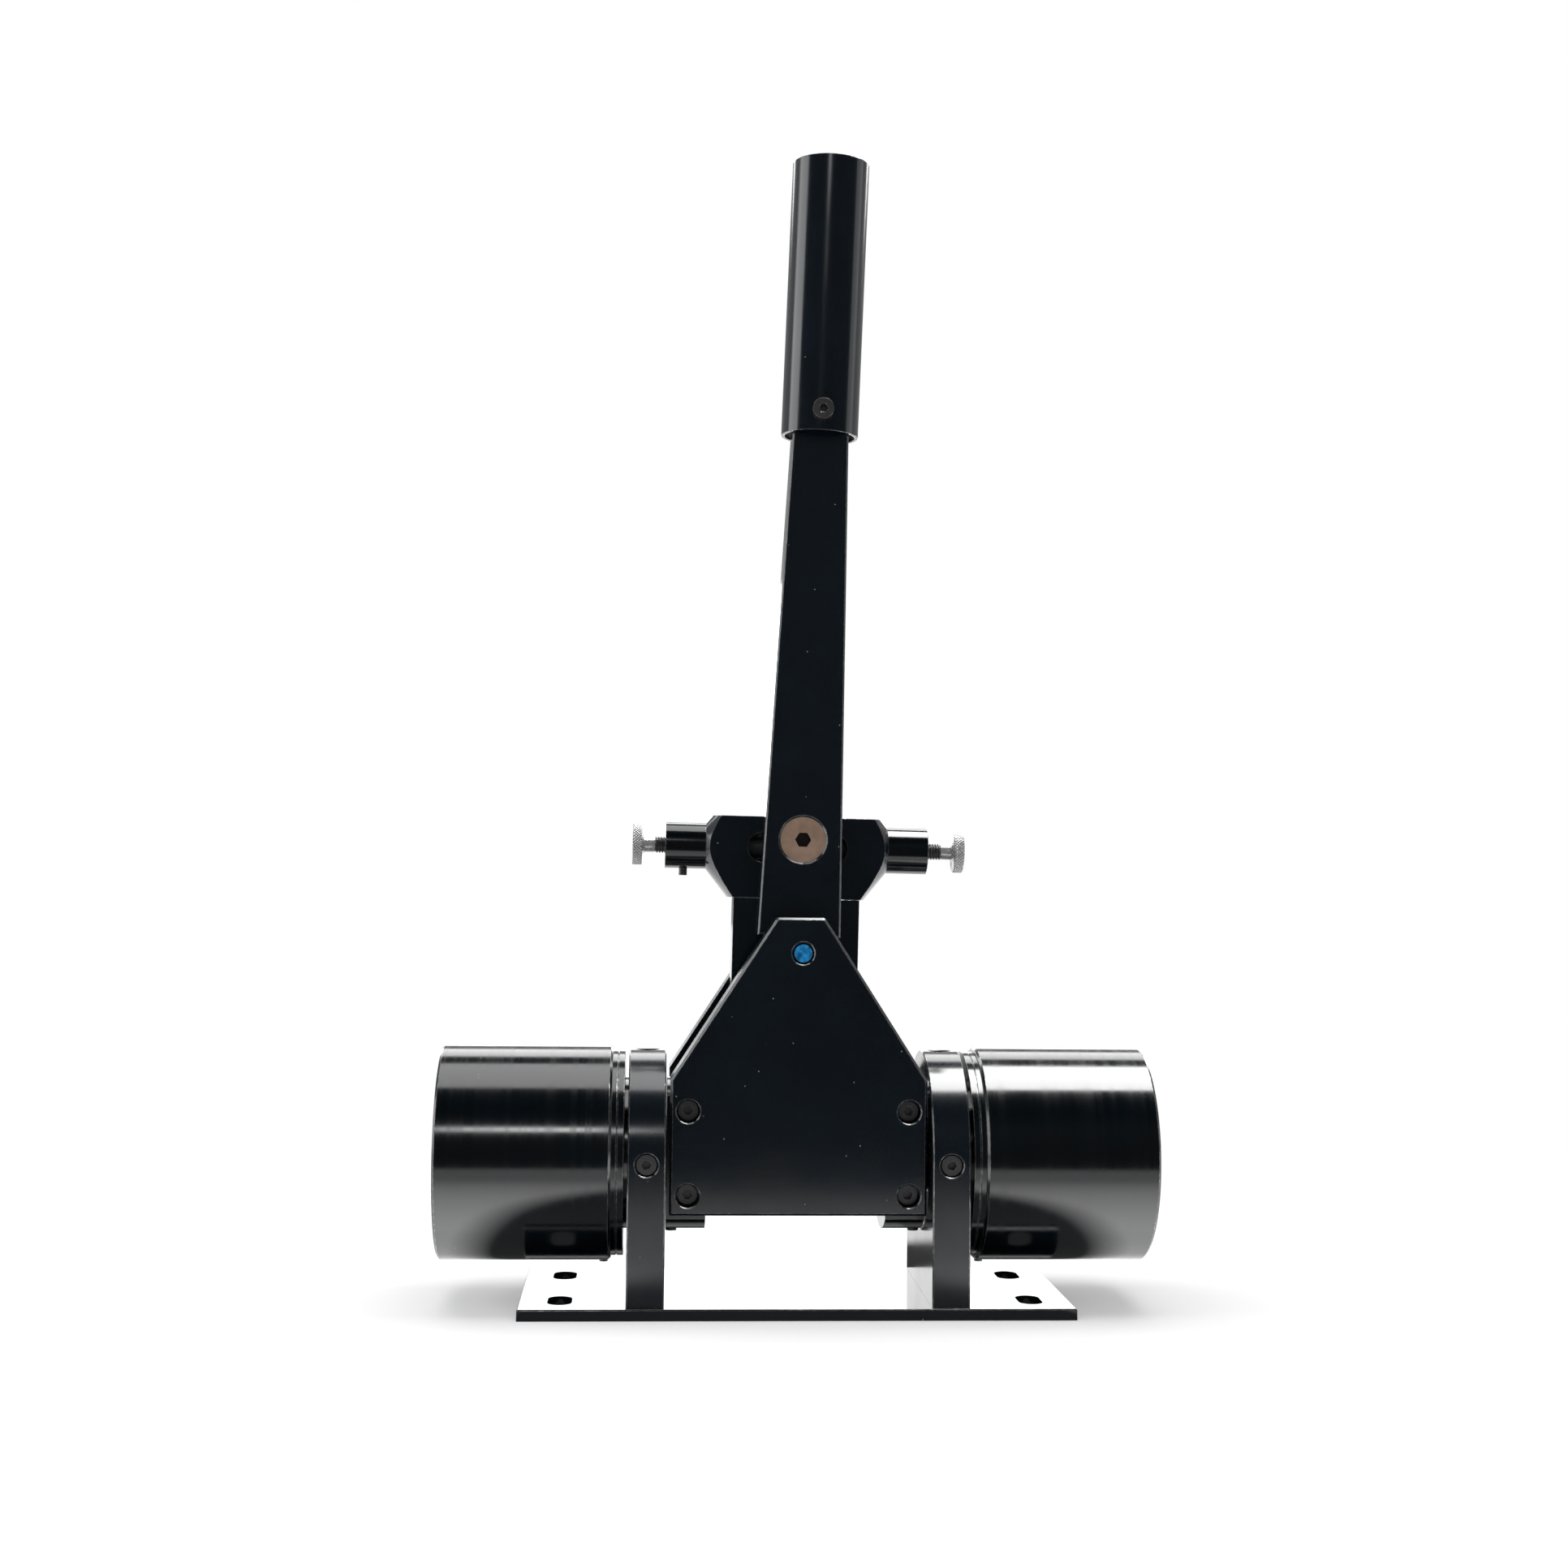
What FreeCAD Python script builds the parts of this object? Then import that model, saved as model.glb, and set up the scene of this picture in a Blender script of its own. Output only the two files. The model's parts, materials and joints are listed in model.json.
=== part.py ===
import FreeCAD
import Part
import math
import os

# Two-axis trunnion mount with a hand lever: a slotted base plate carries two posts,
# each post holds a friction-drag drum, and a yoke of two trapezoid plates turns between
# them.  A rocker tilts sideways in the yoke and a lever with a tube grip pivots on it.
# Millimetres.  X runs along the trunnion, Y runs front to back, Z runs up.
# The origin is the centre of the base plate's underside.

os.makedirs("parts", exist_ok=True)

V = FreeCAD.Vector
X_DIR = V(1, 0, 0)
Y_DIR = V(0, 1, 0)
Z_DIR = V(0, 0, 1)
SIDES = (("left", -1), ("right", 1))

# ---- fits ---------------------------------------------------------------------------
FIT = 0.02                # radial clearance of pieces fixed together
RUN = 0.05                # radial clearance of pieces that turn or slide on each other
END_PLAY = 0.10           # axial clearance of pieces that turn on each other

# ---- standard screws ----------------------------------------------------------------
M3_R = 1.5
M4_R = 2.0
M6_R = 3.0
M8_R = 4.0
M4_HEAD_R = 3.5           # cap head
M4_HEAD_H = 4.0
M4_SOCKET = 3.0           # hexagon across the flats
M4_CBORE_R = 4.0          # counterbore the cap head stands in
M4_FLAT_HEAD_R = 4.0      # countersunk head, 90 degree cone
GRUB_SOCKET = 1.5
SOCKET_DEPTH = 2.0
EDGE = 0.4                # small broken edge

# ---- base plate ---------------------------------------------------------------------
BASE_LENGTH = 193.4
BASE_WIDTH = 78.5
BASE_THICK = 4.0
SLOT_WIDTH = 8.5
SLOT_LENGTH = 15.5
SLOT_X = 82.5
SLOT_Y = 23.3
BASE_SCREW_Y = 24.0
BASE_SCREW_LENGTH = 16.0

# ---- trunnion line, positions measured outwards from the middle ------------------------
AXIS_HEIGHT = 52.7
TRUNNION_R = 27.0         # hubs and the spigots in the posts
HUB_INNER = 32.0
HUB_OUTER = 46.0
HUB_POST_GAP = 0.4
POST_THICK = 13.2
POST_R = 37.0
POST_CBORE_DEPTH = 5.0
COLLAR_GAP = 1.4
COLLAR_LENGTH = 4.4
COLLAR_R = 36.5
GROOVE = 0.4
DRUM_R = 38.1
DRUM_LENGTH = 61.1
DRUM_WALL = 9.1
DRUM_EDGE = 0.8
REGISTER_LENGTH = 6.6     # collar screwed into the drum
LIP = 1.0                 # spigot lip in front of the bearing
LIP_R = 18.0
CAP_WALL = 2.6            # drum wall left outside the end cap
CAP_THICK = 5.0
CAP_RECESS = 0.5
CAP_SCREWS = 4
CAP_SCREW_LENGTH = 14.0
LOCK_SCREW_INSET = 2.6    # drum lock screw from the drum's inner end
LOCK_SCREW_BITE = 2.0
LOCK_SCREW_PROUD = 1.0

# ---- ball bearing 20 x 42 x 12 --------------------------------------------------------
SHAFT_R = 10.0
BEARING_R = 21.0
BEARING_WIDTH = 12.0
BALL_R = 3.175
BALL_COUNT = 9
RACE_DEPTH = 1.1          # depth of a ball groove
CAGE_THICK = 1.6
CAGE_WIDTH = 9.0
CAGE_CLEAR = 0.1

# ---- friction drag in each drum -------------------------------------------------------
LINING_THICK = 2.0
LINING_INNER_R = 13.0
LINING_OUTER_R = 27.0
ROTOR_THICK = 6.0
ROTOR_R = 27.5
ROTOR_SEAT_R = 8.0
NUT_FLATS = 22.0
NUT_THICK = 7.0
PRESSURE_THICK = 5.0
PRESSURE_INNER_R = 15.0
PRESSURE_CLEAR = 0.3
SPRING_HEIGHT = 4.0
SPRING_THICK = 1.6
CAP_TUBE_R = 24.0
CAP_TUBE_WALL = 4.0

# ---- yoke ---------------------------------------------------------------------------
HUB_FLAT = 16.0           # half the distance between the hub's two flats
HUB_BOSS_R = 13.0
HUB_SCREW_INSET = 2.1     # hub lock screw from the hub's outer face
HUB_SCREW_PROUD = 1.0
PLATE_THICK = 15.0
PLATE_HALF = 45.0
PLATE_TOP_HALF = 8.4
PLATE_BOTTOM = -18.2      # below the trunnion line
PLATE_SHOULDER = 28.8     # above the trunnion line
PLATE_TOP = 85.5
PLATE_EDGE = 0.8
PLATE_CORNER_R = 1.5
PLATE_CBORE_DEPTH = 8.0
PLATE_SCREW_X = 38.7
PLATE_SCREW_Z = (17.8, -11.4)
PLATE_SCREW_LENGTH = 15.0

# ---- tilt pin: a shoulder screw through the yoke's two plates ---------------------------
PIN_X = 0.9
PIN_RISE = 73.0           # above the trunnion line
PIN_R = 4.0
PIN_HEAD_R = 6.5
PIN_HEAD_H = 5.0
PIN_CBORE_R = 7.0
PIN_CBORE_DEPTH = 6.0
PIN_THREAD_R = 3.15
PIN_HOLE_R = 3.8          # open front end of the thread
PIN_HOLE_DEPTH = 4.0
PIN_END_INSET = 1.4
LOCKER_THICK = 0.6
PIN_SPACER_R = 4.6
PIN_WASHER_R = 9.0
PIN_WASHER_THICK = 0.5
PIN_BUSH_R = 6.0

# ---- rocker, drawn upright over the pin and then tilted ---------------------------------
ROCKER_TILT = 0.85        # degrees, top towards +X
ROCKER_OFFSET = -0.9      # middle of post and block from the pin
ROCKER_FRONT = -0.8
ROCKER_BACK = 15.4
ROCKER_WIDTH = 46.0
ROCKER_BELOW = 28.0
ROCKER_CORNER_R = 8.0
BLOCK_RISE = 37.3         # thumb-screw line above the pin
BLOCK_HALF_DEPTH = 10.0
BLOCK_UP = 11.2
BLOCK_DOWN = 18.5
NOSE_END = 33.4
NOSE_R = 8.4
NOSE_SLOPE = 1.25
NOSE_ROOT_R = 24.0
POCKET_R = 13.0           # recess for the journal's flange
POCKET_DEPTH = 2.0
WINDOW_X = 12.7           # windows that show the drag plugs
WINDOW_R = 5.5
BLOCK_SCREW_X = 14.5
BLOCK_SCREW_CBORE = 27.0
BLOCK_SCREW_LENGTH = 29.0
SLEEVE_R = 8.45
SLEEVE_END = 48.2
SLEEVE_TAIL_R = 6.0
SLEEVE_TAIL_IN = 24.0
SLEEVE_SCREW_X = 41.5
SLEEVE_SCREW_PROUD = 2.5
SLEEVE_SCREW_GAP = 0.4

# ---- thumb screws and the drag plugs they press on the journal ---------------------------
PLUG_R = 3.5
PLUG_TRAVEL = 3.0
PLUG_SPARE = 0.5
PLUG_SOCKET = 4.0
STUD_TIP_R = 2.0
STUD_SHOWS = {"left": 3.6, "right": 5.2}
NECK_R = 2.85
NECK_LENGTH = 4.9
KNOB_R = 7.5
KNOB_LENGTH = 3.5
STUD_IN_KNOB = 6.0

# ---- lever, drawn upright over its pivot and then leant ----------------------------------
PIVOT_RISE = 40.1         # above the pin
LEVER_LEAN = 1.9          # degrees, top towards +X
LEVER_FRONT = -15.4
LEVER_THICK = 14.0
LEVER_HALF = 13.95        # half width at the pivot
LEVER_TAPER = 0.02615     # loss of half width per unit of height
LEVER_DOWN = 34.6
LEVER_EDGE = 0.6
JOURNAL_R = 6.0
JOURNAL_FLANGE_R = 12.0
PIVOT_HEAD_R = 8.15
PIVOT_HEAD_INSET = 0.6
PIVOT_SOCKET = 5.0
PIVOT_SOCKET_DEPTH = 3.5
PIVOT_WASHER_R = 8.0
PIVOT_WASHER_THICK = 1.6
PIVOT_NUT_FLATS = 13.0
PIVOT_NUT_THICK = 6.5
PIVOT_END_PROUD = 1.0
TUBE_START = 146.9        # above the pivot
TUBE_LENGTH = 100.5
TUBE_R = 14.0
TUBE_WALL = 1.5
TUBE_REAM = 0.3           # the plug's seat is this much wider than the socket above it
TUBE_PLUG_INSET = 2.1
TUBE_PLUG_LENGTH = 22.0
TENON_WIDTH = 16.0
TENON_THICK = 10.0
TENON_LENGTH = 20.0
TUBE_SCREW_RISE = 7.5
TUBE_SCREW_HEAD_R = 3.75
TUBE_SCREW_HEAD_H = 2.2
TUBE_SPOT_R = 4.0
TUBE_SPOT_DEPTH = 0.5
TUBE_SCREW_LENGTH = 15.0

# ---- derived positions ----------------------------------------------------------------
POST_INNER = HUB_OUTER + HUB_POST_GAP
POST_OUTER = POST_INNER + POST_THICK
POST_MIDDLE = (POST_INNER + POST_OUTER) / 2
COLLAR_INNER = POST_OUTER + COLLAR_GAP
DRUM_INNER = COLLAR_INNER + COLLAR_LENGTH
DRUM_OUTER = DRUM_INNER + DRUM_LENGTH
DRUM_BORE_R = DRUM_R - DRUM_WALL
CAP_R = DRUM_R - CAP_WALL
CAP_OUTER = DRUM_OUTER - CAP_RECESS
CAP_INNER = CAP_OUTER - CAP_THICK
CAP_SCREW_R = (CAP_R + DRUM_BORE_R) / 2
SPIGOT_INNER = POST_INNER + LIP
BEARING_INNER = SPIGOT_INNER + LIP
BEARING_OUTER = BEARING_INNER + BEARING_WIDTH
REGISTER_END = DRUM_INNER + REGISTER_LENGTH
ROTOR_INNER = REGISTER_END + LINING_THICK + END_PLAY
ROTOR_OUTER = ROTOR_INNER + ROTOR_THICK
NUT_OUTER = ROTOR_OUTER + NUT_THICK
PRESSURE_INNER = ROTOR_OUTER + END_PLAY
PRESSURE_OUTER = PRESSURE_INNER + PRESSURE_THICK
SPRING_OUTER = PRESSURE_OUTER + SPRING_HEIGHT
PITCH_R = (SHAFT_R + BEARING_R) / 2
CLAMP_BITE = (TRUNNION_R - BEARING_R) / 2
RACE_GAP_R = BALL_R + RUN - RACE_DEPTH
PLATE_FACE = HUB_FLAT + PLATE_THICK
PIN_Z = AXIS_HEIGHT + PIN_RISE
BLOCK_Y = ROCKER_FRONT + BLOCK_HALF_DEPTH
BLOCK_Z = PIN_Z + BLOCK_RISE
BLOCK_BACK = BLOCK_Y + BLOCK_HALF_DEPTH
BLOCK_BOTTOM = BLOCK_Z - BLOCK_DOWN
ROCKER_X = PIN_X + ROCKER_OFFSET
PIVOT_Z = PIN_Z + PIVOT_RISE
LEVER_BACK = LEVER_FRONT + LEVER_THICK
LEVER_Y = (LEVER_FRONT + LEVER_BACK) / 2
FLANGE_BACK = ROCKER_FRONT + POCKET_DEPTH - END_PLAY
JOURNAL_END = BLOCK_BACK + END_PLAY
WASHER_END = JOURNAL_END + PIVOT_WASHER_THICK
NUT_END = WASHER_END + PIVOT_NUT_THICK
TUBE_BORE_R = TUBE_R - TUBE_WALL
TUBE_BOTTOM_Z = PIVOT_Z + TUBE_START
TUBE_PLUG_Z = TUBE_BOTTOM_Z + TUBE_PLUG_INSET
TUBE_SEAT_R = TUBE_BORE_R + TUBE_REAM
TUBE_SEAT_Z = TUBE_PLUG_Z + TUBE_PLUG_LENGTH
TUBE_SCREW_Z = TUBE_BOTTOM_Z + TUBE_SCREW_RISE
TUBE_FRONT = LEVER_Y - TUBE_R


def rod(radius, start, end):
    axis = end - start
    return Part.makeCylinder(radius, axis.Length, start, axis)


def ring(outer, inner, start, end):
    return rod(outer, start, end).cut(rod(inner, start, end))


def box(low, high):
    size = high - low
    return Part.makeBox(size.x, size.y, size.z, low)


def taper(radius_a, radius_b, start, end):
    axis = end - start
    return Part.makeCone(radius_a, radius_b, axis.Length, start, axis)


def mouth_chamfer(radius, face, axis):
    """Cutter for the broken edge at a hole's mouth."""
    return taper(radius + EDGE, radius, face, face + axis * EDGE)


def hexagon(flats, start, end):
    axis = end - start
    corner = flats / (2 * math.cos(math.pi / 6))
    points = []
    for step in range(7):
        angle = step * math.pi / 3
        points.append(V(corner * math.cos(angle), corner * math.sin(angle), 0))
    prism = Part.Face(Part.makePolygon(points)).extrude(V(0, 0, axis.Length))
    prism.Placement = FreeCAD.Placement(start, FreeCAD.Rotation(Z_DIR, axis))
    return prism


def slab(points, y_low, y_high):
    corners = []
    for x, z in points + points[:1]:
        corners.append(V(x, y_low, z))
    return Part.Face(Part.makePolygon(corners)).extrude(V(0, y_high - y_low, 0))


def broken(shape, size, wanted):
    edges = []
    for edge in shape.Edges:
        if wanted(edge):
            edges.append(edge)
    return shape.makeChamfer(size, edges)


def rounded(shape, size, wanted):
    edges = []
    for edge in shape.Edges:
        if wanted(edge):
            edges.append(edge)
    return shape.makeFillet(size, edges)


def flat_at_y(edge, y):
    low = edge.BoundBox.YMin
    high = edge.BoundBox.YMax
    return abs(low - y) < FIT and abs(high - y) < FIT


def rim(edge, x, radius):
    bounds = edge.BoundBox
    thin = bounds.XLength < FIT and abs(bounds.XMin - x) < FIT
    return thin and abs(bounds.YLength - 2 * radius) < FIT


def cap_screw(seat, axis, length):
    """M4 socket-head screw; the head stands behind the seat and the shank goes along the axis."""
    top = seat - axis * M4_HEAD_H
    screw = rod(M4_HEAD_R, top, seat).fuse(rod(M4_R, seat, seat + axis * length))
    return screw.cut(hexagon(M4_SOCKET, top, top + axis * SOCKET_DEPTH))


def flat_screw(face, axis, length):
    """M4 countersunk screw with its head flush with the face."""
    seat = face + axis * (M4_FLAT_HEAD_R - M4_R)
    screw = taper(M4_FLAT_HEAD_R, M4_R, face, seat).fuse(rod(M4_R, seat, face + axis * length))
    return screw.cut(hexagon(M4_SOCKET, face, face + axis * SOCKET_DEPTH))


def flat_screw_hole(face, axis, length):
    mouth = M4_FLAT_HEAD_R + RUN
    throat = M4_R + RUN
    seat = face + axis * (mouth - throat)
    return taper(mouth, throat, face, seat).fuse(rod(throat, seat, face + axis * length))


def grub_screw(radius, outer, inner):
    axis = (inner - outer).normalize()
    return rod(radius, outer, inner).cut(hexagon(GRUB_SOCKET, outer, outer + axis * SOCKET_DEPTH))


def cap_screw_hole(face, axis, depth, length):
    seat = face + axis * depth
    hole = rod(M4_CBORE_R, face, seat).fuse(rod(M4_R + FIT, seat, seat + axis * length))
    return hole.fuse(mouth_chamfer(M4_CBORE_R, face, axis))


def mirrored(shape, side):
    if side > 0:
        return shape
    return shape.mirror(V(0, 0, 0), X_DIR)


def along(x):
    return V(x, 0, AXIS_HEIGHT)


def save(name, shapes):
    solids = []
    for shape in shapes:
        solids.extend(shape.Solids)
    if len(solids) == 1:
        solids[0].exportStep("parts/" + name + ".step")
    else:
        Part.makeCompound(solids).exportStep("parts/" + name + ".step")


def both_sides(shape):
    return [shape, mirrored(shape, -1)]


# ---- base plate: four slots for M8, countersunk holes from below for the posts -----------
base = box(V(-BASE_LENGTH / 2, -BASE_WIDTH / 2, 0), V(BASE_LENGTH / 2, BASE_WIDTH / 2, BASE_THICK))
base = broken(base, EDGE, lambda edge: edge.BoundBox.ZMin > BASE_THICK - FIT)
slot_half = (SLOT_LENGTH - SLOT_WIDTH) / 2
base_screws = []
for side in (-1, 1):
    for end in (-1, 1):
        x = side * SLOT_X
        y = end * SLOT_Y
        for shift in (-slot_half, slot_half):
            base = base.cut(rod(SLOT_WIDTH / 2, V(x, y + shift, 0), V(x, y + shift, BASE_THICK)))
        low = V(x - SLOT_WIDTH / 2, y - slot_half, 0)
        base = base.cut(box(low, V(x + SLOT_WIDTH / 2, y + slot_half, BASE_THICK)))
        foot = V(side * POST_MIDDLE, end * BASE_SCREW_Y, 0)
        base = base.cut(flat_screw_hole(foot, Z_DIR, BASE_SCREW_LENGTH))
        base_screws.append(flat_screw(foot, Z_DIR, BASE_SCREW_LENGTH))
save("base_plate", [base])
save("base_screws", base_screws)

# ---- post: tombstone plate bored for the drum's spigot -----------------------------------
front_screw = V(POST_MIDDLE, -POST_R, AXIS_HEIGHT)
top_screw = V(POST_MIDDLE, 0, AXIS_HEIGHT + POST_R)
post_wall = POST_R - TRUNNION_R
post = box(V(POST_INNER, -POST_R, BASE_THICK), V(POST_OUTER, POST_R, AXIS_HEIGHT))
post = post.fuse(rod(POST_R, along(POST_INNER), along(POST_OUTER))).removeSplitter()
post = broken(post, EDGE, lambda edge: edge.BoundBox.XLength < FIT and edge.BoundBox.ZMax > BASE_THICK + FIT)
post = post.cut(rod(TRUNNION_R + FIT, along(POST_INNER), along(POST_OUTER)))
post = post.cut(cap_screw_hole(front_screw, Y_DIR, POST_CBORE_DEPTH, post_wall))
post = post.cut(cap_screw_hole(top_screw, -Z_DIR, POST_CBORE_DEPTH, post_wall))
for end in (-1, 1):
    foot = V(POST_MIDDLE, end * BASE_SCREW_Y, 0)
    post = post.cut(rod(M4_R + FIT, foot, foot + Z_DIR * BASE_SCREW_LENGTH))
clamp_length = post_wall - POST_CBORE_DEPTH + CLAMP_BITE
clamp_screws = []
for face, axis in ((front_screw, Y_DIR), (top_screw, -Z_DIR)):
    clamp_screws.extend(both_sides(cap_screw(face + axis * POST_CBORE_DEPTH, axis, clamp_length)))
save("clamp_screws", clamp_screws)

# ---- drum collar: spigot in the post, flange, and register screwed into the drum -----------
lock_x = DRUM_INNER + LOCK_SCREW_INSET
lock_outer = V(lock_x, 0, AXIS_HEIGHT - DRUM_R - LOCK_SCREW_PROUD)
lock_inner = V(lock_x, 0, AXIS_HEIGHT - DRUM_BORE_R + LOCK_SCREW_BITE)
collar = rod(TRUNNION_R, along(SPIGOT_INNER), along(COLLAR_INNER))
collar = collar.fuse(rod(COLLAR_R, along(COLLAR_INNER), along(DRUM_INNER)))
collar = collar.fuse(rod(DRUM_BORE_R - FIT, along(DRUM_INNER), along(REGISTER_END)))
groove_x = (COLLAR_INNER + DRUM_INNER) / 2
collar = collar.cut(ring(DRUM_R, COLLAR_R - GROOVE, along(groove_x), along(groove_x + GROOVE)))
collar = collar.cut(rod(LIP_R, along(SPIGOT_INNER), along(BEARING_INNER)))
collar = collar.cut(rod(BEARING_R + FIT, along(BEARING_INNER), along(REGISTER_END)))
for face, axis in ((front_screw, Y_DIR), (top_screw, -Z_DIR)):
    collar = collar.cut(rod(M4_R + FIT, face, face + axis * (post_wall + CLAMP_BITE)))
collar = collar.cut(rod(M3_R + FIT, lock_outer, lock_inner))

# ---- drum shell and end cap --------------------------------------------------------------
drum = rod(DRUM_R, along(DRUM_INNER), along(DRUM_OUTER))
drum = broken(drum, DRUM_EDGE, lambda edge: rim(edge, DRUM_INNER, DRUM_R) or rim(edge, DRUM_OUTER, DRUM_R))
drum = drum.cut(rod(DRUM_BORE_R, along(DRUM_INNER), along(DRUM_OUTER)))
drum = drum.cut(rod(CAP_R, along(CAP_INNER), along(DRUM_OUTER)))
drum = drum.cut(rod(M3_R + FIT, lock_outer, lock_inner))
cap = rod(CAP_R - FIT, along(CAP_INNER), along(CAP_OUTER))
cap = broken(cap, EDGE, lambda edge: rim(edge, CAP_OUTER, CAP_R - FIT))
cap = cap.fuse(ring(CAP_TUBE_R, CAP_TUBE_R - CAP_TUBE_WALL, along(SPRING_OUTER), along(CAP_INNER)))
cap_screws = []
for index in range(CAP_SCREWS):
    angle = (index + 0.5) * 2 * math.pi / CAP_SCREWS
    head = along(CAP_OUTER) + V(0, CAP_SCREW_R * math.cos(angle), CAP_SCREW_R * math.sin(angle))
    hole = flat_screw_hole(head, -X_DIR, CAP_SCREW_LENGTH)
    drum = drum.cut(hole)
    cap = cap.cut(hole)
    cap_screws.extend(both_sides(flat_screw(head, -X_DIR, CAP_SCREW_LENGTH)))
save("end_cap_screws", cap_screws)
save("drum_lock_screws", both_sides(grub_screw(M3_R, lock_outer, lock_inner)))

# ---- friction drag: lining, rotor, pressure plate, disc spring, nut ------------------------
lining = ring(LINING_OUTER_R, LINING_INNER_R, along(REGISTER_END), along(REGISTER_END + LINING_THICK))
pressure_r = DRUM_BORE_R - PRESSURE_CLEAR
pressure = ring(pressure_r, PRESSURE_INNER_R, along(PRESSURE_INNER), along(PRESSURE_OUTER))
rotor = ring(ROTOR_R, ROTOR_SEAT_R + FIT, along(ROTOR_INNER), along(ROTOR_OUTER))
nut = hexagon(NUT_FLATS, along(ROTOR_OUTER), along(NUT_OUTER))
nut = nut.cut(rod(ROTOR_SEAT_R + FIT, along(ROTOR_OUTER), along(NUT_OUTER)))
spring = taper(PRESSURE_INNER_R + SPRING_THICK, CAP_TUBE_R, along(PRESSURE_OUTER), along(SPRING_OUTER))
hollow = taper(PRESSURE_INNER_R, CAP_TUBE_R - SPRING_THICK, along(PRESSURE_OUTER), along(SPRING_OUTER))
spring = spring.cut(hollow)
save("friction_linings", both_sides(lining))
save("drag_springs", both_sides(spring))
save("rotor_nuts", both_sides(nut))

# ---- ball bearing ------------------------------------------------------------------------
bearing_middle = along((BEARING_INNER + BEARING_OUTER) / 2)
groove = Part.makeTorus(PITCH_R, BALL_R + RUN, bearing_middle, X_DIR)
outer_race = ring(BEARING_R, PITCH_R + RACE_GAP_R, along(BEARING_INNER), along(BEARING_OUTER))
outer_race = outer_race.cut(groove)
inner_race = ring(PITCH_R - RACE_GAP_R, SHAFT_R + FIT, along(BEARING_INNER), along(BEARING_OUTER))
inner_race = inner_race.cut(groove)
cage_half = X_DIR * (CAGE_WIDTH / 2)
cage_start = bearing_middle - cage_half
cage_end = bearing_middle + cage_half
cage = ring(PITCH_R + CAGE_THICK / 2, PITCH_R - CAGE_THICK / 2, cage_start, cage_end)
balls = []
for index in range(BALL_COUNT):
    angle = index * 2 * math.pi / BALL_COUNT
    spoke = V(0, math.cos(angle), math.sin(angle))
    cage = cage.cut(rod(BALL_R + CAGE_CLEAR, bearing_middle, bearing_middle + spoke * BEARING_R))
    balls.append(Part.makeSphere(BALL_R, bearing_middle + spoke * PITCH_R))

# ---- hub and trunnion shaft ----------------------------------------------------------------
hub_lock_x = HUB_OUTER - HUB_SCREW_INSET
hub_lock_outer = V(hub_lock_x, 0, AXIS_HEIGHT - TRUNNION_R - HUB_SCREW_PROUD)
hub_lock_inner = V(hub_lock_x, 0, AXIS_HEIGHT - SHAFT_R)
flat_low = V(HUB_INNER, -HUB_FLAT, AXIS_HEIGHT - TRUNNION_R)
flat_high = V(HUB_OUTER, HUB_FLAT, AXIS_HEIGHT + TRUNNION_R)
hub = rod(TRUNNION_R, along(HUB_INNER), along(HUB_OUTER)).common(box(flat_low, flat_high))
hub = hub.fuse(rod(HUB_BOSS_R, along(HUB_OUTER), along(BEARING_INNER)))
hub = hub.cut(rod(SHAFT_R + FIT, along(HUB_INNER), along(BEARING_INNER)))
hub = hub.cut(rod(M4_R + FIT, hub_lock_outer, hub_lock_inner))
shaft = rod(SHAFT_R, along(HUB_INNER), along(ROTOR_INNER))
shaft = shaft.fuse(rod(ROTOR_SEAT_R, along(ROTOR_INNER), along(NUT_OUTER + EDGE)))
save("hub_lock_screws", both_sides(grub_screw(M4_R, hub_lock_outer, hub_lock_inner)))

# ---- yoke plates ---------------------------------------------------------------------------
outline = [
    (-PLATE_HALF, AXIS_HEIGHT + PLATE_BOTTOM),
    (PLATE_HALF, AXIS_HEIGHT + PLATE_BOTTOM),
    (PLATE_HALF, AXIS_HEIGHT + PLATE_SHOULDER),
    (PLATE_TOP_HALF, AXIS_HEIGHT + PLATE_TOP),
    (-PLATE_TOP_HALF, AXIS_HEIGHT + PLATE_TOP),
    (-PLATE_HALF, AXIS_HEIGHT + PLATE_SHOULDER),
]


def top_corner(edge):
    bounds = edge.BoundBox
    return bounds.YLength > FIT and bounds.ZMin > AXIS_HEIGHT + PLATE_TOP - FIT and bounds.XLength < FIT


plates = {}
plate_screws = []
for name, facing in (("front", -1), ("back", 1)):
    y_pair = sorted((facing * HUB_FLAT, facing * PLATE_FACE))
    plate = slab(outline, y_pair[0], y_pair[1])
    plate = rounded(plate, PLATE_CORNER_R, top_corner)
    plate = broken(plate, PLATE_EDGE, lambda edge: flat_at_y(edge, facing * PLATE_FACE))
    inward = V(0, -facing, 0)
    for x in (-PLATE_SCREW_X, PLATE_SCREW_X):
        for rise in PLATE_SCREW_Z:
            face = V(x, facing * PLATE_FACE, AXIS_HEIGHT + rise)
            hole = cap_screw_hole(face, inward, PLATE_CBORE_DEPTH, PLATE_SCREW_LENGTH)
            plate = plate.cut(hole)
            if x > 0:
                hub = hub.cut(hole)
            plate_screws.append(cap_screw(face + inward * PLATE_CBORE_DEPTH, inward, PLATE_SCREW_LENGTH))
    plates[name] = plate
save("plate_screws", plate_screws)

# ---- tilt pin --------------------------------------------------------------------------------


def on_pin(y):
    return V(PIN_X, y, PIN_Z)


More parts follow.
